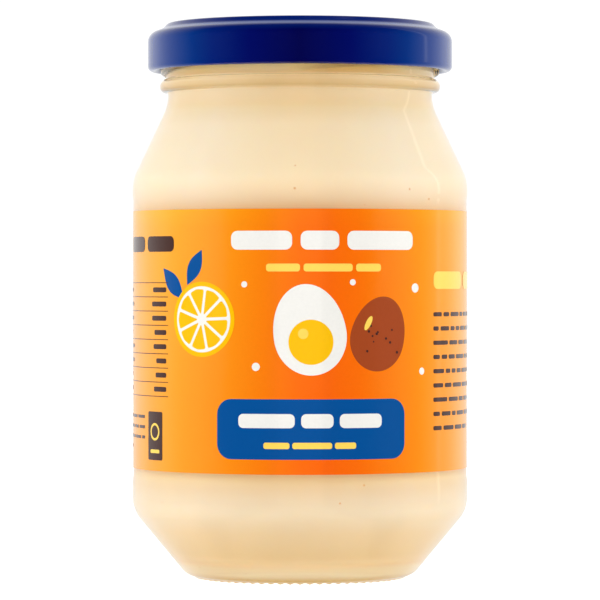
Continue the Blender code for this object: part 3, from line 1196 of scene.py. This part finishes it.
@dataclass
class Label:
    """The wrapped paper label and the inks printed on it.

    Attributes:
        sizes: The jar's sizes.
        paper: Thickness of the paper.
        setback: How far the paper's face lies inside the body's radius.
        overlap: Length by which its end laps over its start, at the back.
        lap_run: Length over which the paper rises to its lap.
        lap_gap: Gap between the paper's two layers there.
        cells: Divisions of the sheet along and up.
        ink_step: How far each ink stands above the one below.
        facet: Longest flat run of a wrapped ink.
    """

    sizes: JarSizes
    paper: float = 0.1
    setback: float = 0.10
    overlap: float = 6.0
    lap_run: float = 1.5
    lap_gap: float = 0.01
    cells: tuple[int, int] = (300, 24)
    ink_step: float = 0.008
    facet: float = 0.6

    @property
    def radius(self) -> float:
        """Outer radius of the paper."""
        return self.sizes.body - self.setback

    def wrap(self, piece: Piece) -> None:
        """Bends a flat piece, which faces -Y, round the jar.

        Args:
            piece: The piece, in millimetres, with X along the label.
        """
        across = [vertex.co.x for vertex in piece.data.vertices]
        angle = (max(across) - min(across)) / self.radius
        apply_modifier(piece, "SIMPLE_DEFORM", deform_method="BEND", deform_axis="Z", angle=angle)
        piece.location.y = -self.radius * MM
        piece.location.z = self.sizes.label_bottom * MM
        piece.scale = (MM, MM, MM)
        settle(piece)

    def stand_up(self, piece: Piece, offset: float) -> None:
        """Turns a flat piece upright, so that it faces -Y.

        Args:
            piece: The piece, in the XY plane.
            offset: Its distance in front of the paper.
        """
        piece.rotation_euler.x = math.pi / 2
        piece.location.y = -offset
        settle(piece)

    def build_paper(self) -> None:
        """Builds and dresses the paper sheet."""
        height = self.sizes.label_top - self.sizes.label_bottom
        half_turn = math.pi * self.radius
        length = 2 * half_turn + self.overlap
        deselect()
        bpy.ops.mesh.primitive_grid_add(x_subdivisions=self.cells[0], y_subdivisions=self.cells[1], size=1.0)
        piece = bpy.context.object
        piece.name = piece.data.name = "jar_label"
        piece.scale = (length, height, 1.0)
        piece.location = (length / 2 - half_turn, height / 2, 0.0)
        settle(piece)
        self.stand_up(piece, 0.0)
        for vertex in piece.data.vertices:
            lapped = min(1.0, max(0.0, (vertex.co.x - half_turn + self.lap_run) / self.lap_run))
            vertex.co.y -= (self.paper + self.lap_gap) * lapped
        self.wrap(piece)
        apply_modifier(piece, "SOLIDIFY", thickness=self.paper * MM, offset=-1.0)
        bpy.ops.object.shade_smooth_by_angle(angle=math.radians(30))
        finish_piece(piece, OrangePaper(self.sizes.top).material(), Slot.LABEL, "label")

    def build_ink(self, flat: Flat, ink: Ink, finish: PrintingInk) -> None:
        """Joins an ink's shapes, cuts them into narrow strips, wraps and dresses them.

        Args:
            flat: The drawn shapes.
            ink: The ink.
            finish: Its finish.
        """
        piece, *others = flat.shapes[ink]
        join(piece, others)
        piece.name = piece.data.name = f"ink_{finish.name}"
        settle(piece)
        across = [vertex.co.x for vertex in piece.data.vertices]
        first = math.floor(min(across) / self.facet)
        last = math.ceil(max(across) / self.facet)
        with editing():
            for cut in range(first, last + 1):
                bpy.ops.mesh.select_all(action="SELECT")
                bpy.ops.mesh.bisect(plane_co=(cut * self.facet, 0, 0), plane_no=(1, 0, 0))
        self.stand_up(piece, self.ink_step * ink.value)
        self.wrap(piece)
        apply_modifier(piece, "SOLIDIFY", thickness=0.5 * self.ink_step * MM, offset=1.0)
        finish_piece(piece, finish.material(), Slot.LABEL)


@dataclass
class LabelDesign:
    """The generic print: eggs, a lemon slice, a plate with plain bars, and blocks of bars for small text.

    Attributes:
        flat: Where it is drawn.
        word_gap: Gap between the bars of a row, as a share of their height.
        line_height: Height of the small bars, as a share of the distance between lines.
        last_line: Width of a block's last line, as a share of the others'.
        bar_lengths: Shortest and longest small bar.
        bar_gap: Gap between small bars.
        stripe_widths: Widths to draw the stripes from.
        stripe_gaps: Gaps to draw between them.
        stripe_margin: Margin of the panel round the stripes.
    """

    flat: Flat = field(default_factory=Flat)
    word_gap: float = 0.45
    line_height: float = 0.30
    last_line: float = 0.55
    bar_lengths: Point = (1.6, 5.4)
    bar_gap: float = 0.7
    stripe_widths: tuple[float, ...] = (0.25, 0.25, 0.5, 0.75)
    stripe_gaps: tuple[float, ...] = (0.3, 0.3, 0.55, 0.8)
    stripe_margin: float = 2.0

    def lemon(self, x: float, y: float, radius: float) -> None:
        """A lemon slice with two leaves.

        Args:
            x: Its middle, round the jar.
            y: Its middle, above the label's lower edge.
            radius: Its radius.
        """
        self.flat.leaf(Ink.BLUE, x - radius * 1.05, y + radius * 0.95, radius * 1.15, 135)
        self.flat.leaf(Ink.BLUE, x - radius * 0.25, y + radius * 1.38, radius * 1.05, 62)
        self.flat.ring(Ink.YELLOW, x, y, radius, radius * 0.12)
        self.flat.disc(Ink.WHITE, x, y, radius * 0.89)
        wedges = 9
        half = math.pi / wedges * 0.86
        corners = ((0.12, 0.0), (0.80, -half), (0.82, 0.0), (0.80, half))
        for index in range(wedges):
            wedge = self.flat.disc(Ink.YELLOW, x, y, radius, len(corners))
            for vertex, (reach, angle) in zip(wedge.data.vertices, corners):
                vertex.co = (-radius * reach * math.sin(angle), radius * reach * math.cos(angle), 0)
            with editing():
                bpy.ops.mesh.bevel(affect="VERTICES", offset=radius * 0.06, offset_type="OFFSET", segments=4)
            wedge.rotation_euler.z = math.tau * (index + 0.3) / wedges

    def eggs(self, x: float, y: float) -> None:
        """A halved egg in front and a whole brown egg beside it.

        Args:
            x: Middle of the halved egg, round the jar.
            y: Middle of both, above the label's lower edge.
        """
        self.flat.egg(Ink.BROWN, x + 13.5, y - 0.6, 11.6, -16)
        self.flat.egg(Ink.WHITE, x, y, 14.0, 10)
        self.flat.disc(Ink.YELLOW, x + 0.1, y - 1.2, 4.3)
        self.flat.disc(Ink.PALE_YELLOW, x - 1.4, y + 0.4, 1.0, 24)
        shine = self.flat.disc(Ink.PALE_YELLOW, x + 11.4, y + 2.4, 1.0, 32)
        shine.scale = (0.55, 1.5, 1.0)
        shine.rotation_euler.z = math.radians(-28)
        draw = random.Random(23)
        for _ in range(11):
            angle, reach = draw.uniform(0, math.tau), draw.uniform(1.0, 4.4)
            place = (x + 13.9 + reach * math.cos(angle), y - 0.8 + 1.25 * reach * math.sin(angle))
            self.flat.disc(Ink.DARK, *place, draw.uniform(0.14, 0.30), 12)

    def name_plate(self, x: float, y: float) -> None:
        """A blue plate with plain white bars where a name would be.

        Args:
            x: Its middle, round the jar.
            y: Its middle, above the label's lower edge.
        """
        self.flat.plate(Ink.BLUE, x, y, 38.0, 11.5, 4.2)
        self.words(Ink.WHITE, x - 14.5, y + 1.6, (11.0, 6.2, 8.6), 2.7)
        self.words(Ink.PALE_YELLOW, x - 9.5, y - 3.1, (5.0, 7.6, 4.2), 1.2)

    def words(self, ink: Ink, x: float, y: float, widths: tuple[float, ...], height: float) -> None:
        """A row of bars in place of words.

        Args:
            ink: Their ink.
            x: Left end of the row.
            y: Its middle, above the label's lower edge.
            widths: Width of each bar.
            height: Height of the bars.
        """
        for width in widths:
            self.flat.bar(ink, x + width / 2, y, width, height)
            x += width + height * self.word_gap

    def text_block(self, x: float, y: float, width: float, lines: int, pitch: float, seed: int) -> None:
        """Lines of short dark bars in place of small text.

        Args:
            x: Left edge.
            y: Middle of the first line, above the label's lower edge.
            width: Width of a full line.
            lines: Number of lines.
            pitch: Distance between lines.
            seed: Seed for the widths of the bars.
        """
        draw = random.Random(seed)
        height = pitch * self.line_height
        for line in range(lines):
            left, end = x, x + width * (1.0 if line < lines - 1 else self.last_line)
            while left < end - 2 * height:
                length = min(draw.uniform(*self.bar_lengths), end - left)
                bar = (left + length / 2, y - line * pitch, max(length, 2 * height), height)
                self.flat.bar(Ink.DARK, *bar)
                left += length + self.bar_gap

    def table(self, left: float, right: float, top: float, rows: int, pitch: float) -> None:
        """A plain table: thin rules with a bar at both ends of each row.

        Args:
            left: Left edge, round the jar.
            right: Right edge.
            top: Height of the first rule.
            rows: Number of rows.
            pitch: Height of a row.
        """
        draw = random.Random(5)
        for row in range(rows + 1):
            self.flat.bar(Ink.DARK, (left + right) / 2, top - row * pitch, right - left, 0.14)
            if row == rows:
                break
            middle = top - (row + 0.5) * pitch
            name, amount = draw.uniform(6.0, 12.0), draw.uniform(3.2, 5.2)
            self.flat.bar(Ink.DARK, left + 0.6 + name / 2, middle, name, 0.75)
            self.flat.bar(Ink.DARK, right - 0.6 - amount / 2, middle, amount, 0.95)

    def disposal_sign(self, x: float, y: float) -> None:
        """A small dark box with a plain ring and a bar.

        Args:
            x: Its middle, round the jar.
            y: Its middle, above the label's lower edge.
        """
        self.flat.plate(Ink.DARK, x, y, 5.4, 9.4, 0.5)
        sign = self.flat.ring(Ink.DARK, x, y + 0.8, 1.7, 0.45)
        self.flat.shapes[Ink.DARK].remove(sign)
        self.flat.shapes[Ink.PALE_YELLOW].append(sign)
        self.flat.bar(Ink.PALE_YELLOW, x, y - 3.0, 3.4, 0.7)

    def stripes(self, x: float, y: float, width: float, height: float) -> None:
        """A white panel with upright stripes, for the back.

        Args:
            x: Its middle, round the jar.
            y: Its middle, above the label's lower edge.
            width: Width of the panel.
            height: Its height.
        """
        self.flat.plate(Ink.WHITE, x, y, width, height, 0.4)
        draw = random.Random(11)
        left = x - width / 2 + self.stripe_margin
        while left < x + width / 2 - 1.1 * self.stripe_margin:
            stripe = draw.choice(self.stripe_widths)
            self.flat.plate(Ink.DARK, left + stripe / 2, y, stripe, height - 1.5 * self.stripe_margin, 0.02)
            left += stripe + draw.choice(self.stripe_gaps)

    def draw(self) -> Flat:
        """Draws the whole print, front first and then round to the back.

        Returns:
            The shapes of all inks.
        """
        self.words(Ink.WHITE, -13.5, 44.6, (12.0, 7.4, 14.4), 3.6)
        self.words(Ink.PALE_YELLOW, -6.5, 39.4, (6.5, 9.5, 5.2), 1.5)
        self.lemon(-20.0, 29.5, 7.2)
        self.eggs(2.0, 26.4)
        self.name_plate(2.5, 8.6)
        for x, y, radius in (
            (-8.5, 20.5, 0.8), (-10.8, 36.2, 0.6), (24.2, 35.5, 0.9), (26.0, 19.5, 0.7), (10.2, 36.6, 0.6),
        ):
            self.flat.disc(Ink.WHITE, x, y, radius, 24)
        self.words(Ink.DARK, -48.0, 44.0, (10.0, 9.4), 3.0)
        self.table(-58.0, -29.0, 36.5, 8, 2.75)
        self.disposal_sign(-33.6, 6.8)
        self.text_block(-58.0, 10.4, 20.0, 4, 2.0, 3)
        self.words(Ink.PALE_YELLOW, 29.5, 37.0, (12.0, 14.0), 3.4)
        self.text_block(29.5, 30.4, 30.0, 9, 2.75, 7)
        self.stripes(80.0, 12.5, 27.0, 15.0)
        self.text_block(67.0, 43.5, 26.0, 8, 2.5, 13)
        self.text_block(-96.0, 43.5, 32.0, 14, 2.75, 17)
        return self.flat


INKS = {
    Ink.BLUE: PrintingInk("blue", srgb(2, 78, 148)),
    Ink.BROWN: PrintingInk("brown", srgb(160, 70, 32)),
    Ink.WHITE: PrintingInk("white", srgb(240, 238, 232)),
    Ink.YELLOW: PrintingInk("yellow", srgb(250, 190, 2)),
    Ink.PALE_YELLOW: PrintingInk("pale_yellow", srgb(253, 214, 92)),
    Ink.DARK: PrintingInk("dark", srgb(66, 40, 34)),
}


@dataclass
class PhotoCamera:
    """A level camera at the photograph's distance and height, in the 600 by 600 frame.

    Attributes:
        pixel: Millimetres to a pixel at the jar's axis.
        distance: Distance to the axis, in pixels.
        horizon_row: The row at the camera's height.
        base_row: The row of the jar's base at its axis.
        frame: Width and height of the frame, in pixels.
    """

    pixel: float = 0.1985
    distance: float = 3862.0
    horizon_row: float = 281.0
    base_row: float = 576.9
    frame: float = 600.0

    def build(self) -> None:
        """Places the camera and makes it the scene's."""
        data = bpy.data.cameras.new("photo camera")
        data.sensor_width = 36.0
        data.lens = data.sensor_width * self.distance / self.frame
        data.shift_y = (self.horizon_row - self.frame / 2) / self.frame
        data.clip_start, data.clip_end = 0.05, 50.0
        camera = bpy.data.objects.new("photo camera", data)
        bpy.context.collection.objects.link(camera)
        height = (self.base_row - self.horizon_row) * self.pixel * MM
        camera.location = (0.0, -self.distance * self.pixel * MM, height)
        camera.rotation_euler = (math.pi / 2, 0.0, 0.0)
        bpy.context.scene.camera = camera


@dataclass
class Softbox:
    """A soft square lamp that points at the jar.

    Attributes:
        name: Its name.
        place: Its place, in metres.
        size: Its side, in metres.
        power: Its power, in watts.
        aim: Where it points, in metres.
    """

    name: str
    place: tuple[float, float, float]
    size: float
    power: float
    aim: tuple[float, float, float] = (0.0, 0.0, 0.055)

    def build(self) -> None:
        """Places the lamp, which lights the jar without showing in its gloss or behind its glass."""
        data = bpy.data.lights.new(self.name, "AREA")
        data.shape = "SQUARE"
        data.size = self.size
        data.energy = self.power
        lamp = bpy.data.objects.new(self.name, data)
        bpy.context.collection.objects.link(lamp)
        lamp.location = self.place
        ahead = Vector(self.aim) - Vector(self.place)
        lamp.rotation_euler = ahead.to_track_quat("-Z", "Y").to_euler()
        lamp.visible_glossy = False
        lamp.visible_camera = False
        lamp.visible_transmission = False


@dataclass
class Studio:
    """A pale table top under a white surround that is dark only on the camera's side.

    Attributes:
        surround: Brightness of the surround in gloss, from its dark side to behind the jar.
        surround_ends: How far back a direction points, from -1 to 1, where it is darkest and brightest.
        surround_lift: How that changes towards straight up and down, where it is darker.
        backdrop: Its brightness as the camera sees it.
        edge_bearing: Bearing of a light panel's bright edge, in degrees to the right of straight behind.
        edge_width: Half the width of that edge, in degrees.
        edge_light: Its brightness.
        edge_foot: Heights of a direction, from -1 to 1, between which that edge comes in.
        floor_radius: Radius of the table top, in metres.
        floor_glow: The table top's own light, which keeps it white.
        floor_soft_glow: The same, where it lights the jar.
    """

    surround: Point = (0.01, 1.0)
    surround_ends: Point = (-0.05, 0.72)
    surround_lift: float = -0.30
    backdrop: float = 1.05
    edge_bearing: float = 70.0
    edge_width: float = 2.6
    edge_light: float = 1.0
    edge_foot: Point = (-0.12, -0.02)
    floor_radius: float = 4.0
    floor_glow: float = 1.0
    floor_soft_glow: float = 0.40

    def build_floor(self) -> None:
        """A round pale table top."""
        deselect()
        bpy.ops.mesh.primitive_circle_add(vertices=128, radius=self.floor_radius, fill_type="NGON")
        floor = bpy.context.object
        floor.name = "table_top"
        with editing():
            bpy.ops.mesh.inset(thickness=self.floor_radius * 0.9)
        finish = Finish("pale table")
        is_soft = finish.board.add("LightPath").outputs["Is Diffuse Ray"]
        glows = (self.floor_soft_glow - self.floor_glow, self.floor_glow)
        finish.set(
            Base_Color=finish.board.ramp(is_soft, {0.0: (0.92, 0.92, 0.92), 1.0: (0.30, 0.30, 0.30)}),
            Roughness=0.9,
            Specular_IOR_Level=0.0,
            Emission_Color=(1.0, 1.0, 1.0, 1.0),
            Emission_Strength=finish.board.math("MULTIPLY_ADD", is_soft, *glows),
        )
        finish.material.cycles.emission_sampling = "NONE"
        floor.visible_glossy = False
        floor.visible_shadow = False
        floor.data.materials.append(finish.material)

    def build_surround(self) -> None:
        """The surround: white to the camera, and otherwise graded from dark in front to white behind."""
        world = bpy.data.worlds.new("surround")
        world.use_nodes = True
        world.cycles.sampling_method = "NONE"
        bpy.context.scene.world = world
        board = Board(world.node_tree)
        world.node_tree.nodes.clear()
        direction = board.add("TexCoord").outputs["Generated"]
        split = board.add("SeparateXYZ", {"Vector": direction})
        level = board.math("ABSOLUTE", split.outputs["Z"])
        lifted = board.math("MULTIPLY_ADD", level, self.surround_lift, split.outputs["Y"])
        graded = board.span(lifted, self.surround_ends, *self.surround)
        bearing = board.math("ARCTAN2", split.outputs["X"], split.outputs["Y"])
        off_edge = board.math("ABSOLUTE", board.math("SUBTRACT", bearing, math.radians(self.edge_bearing)))
        edge = board.span(off_edge, (math.radians(self.edge_width), 0.0), 0.0, self.edge_light)
        raised = board.span(split.outputs["Z"], self.edge_foot)
        mirrored = board.math("ADD", graded, board.math("MULTIPLY", edge, raised))
        path = board.add("LightPath")
        reflected = board.math("MAXIMUM", path.outputs["Is Diffuse Ray"], path.outputs["Is Glossy Ray"])
        shown = board.add("Mix", {"Factor": reflected, "A": self.backdrop, "B": mirrored})
        background = board.add("Background", {"Color": (1, 1, 1, 1), "Strength": shown.outputs["Result"]})
        board.add("OutputWorld", {"Surface": background.outputs[0]})

    def build_lamps(self) -> None:
        """Large lamps on all sides, overhead and below; the floor lets the light of the last through."""
        for lamp in (
            Softbox("left softbox", (-1.55, -0.55, 0.35), 1.1, 22.5),
            Softbox("right softbox", (1.55, -0.55, 0.35), 1.1, 21.5),
            Softbox("front softbox", (0.0, -1.7, 0.40), 1.1, 8.5),
            Softbox("back softbox", (0.0, 1.7, 0.40), 1.1, 8.5),
            Softbox("low softbox", (0.0, -0.9, -1.1), 1.1, 8.5),
            Softbox("overhead softbox", (0.0, -0.2, 1.5), 1.2, 4.0),
        ):
            lamp.build()

    def build(self) -> None:
        """Builds the floor, the surround and the lamps."""
        self.build_floor()
        self.build_surround()
        self.build_lamps()
        bpy.context.scene.view_settings.view_transform = "Standard"


def main() -> None:
    """Builds the camera, the jar's pieces from the inside out, and the studio."""
    logging.basicConfig(level=logging.INFO, format="%(message)s")
    PhotoCamera().build()
    sizes = JarSizes()
    glass = GlassJar(sizes)
    glass.build_contents()
    glass.build()
    Lid(sizes).build()
    label = Label(sizes)
    label.build_paper()
    flat = LabelDesign().draw()
    for ink, finish in INKS.items():
        label.build_ink(flat, ink, finish)
    bpy.data.objects.remove(flat.pill)
    Studio().build()


if __name__ == "__main__":
    main()
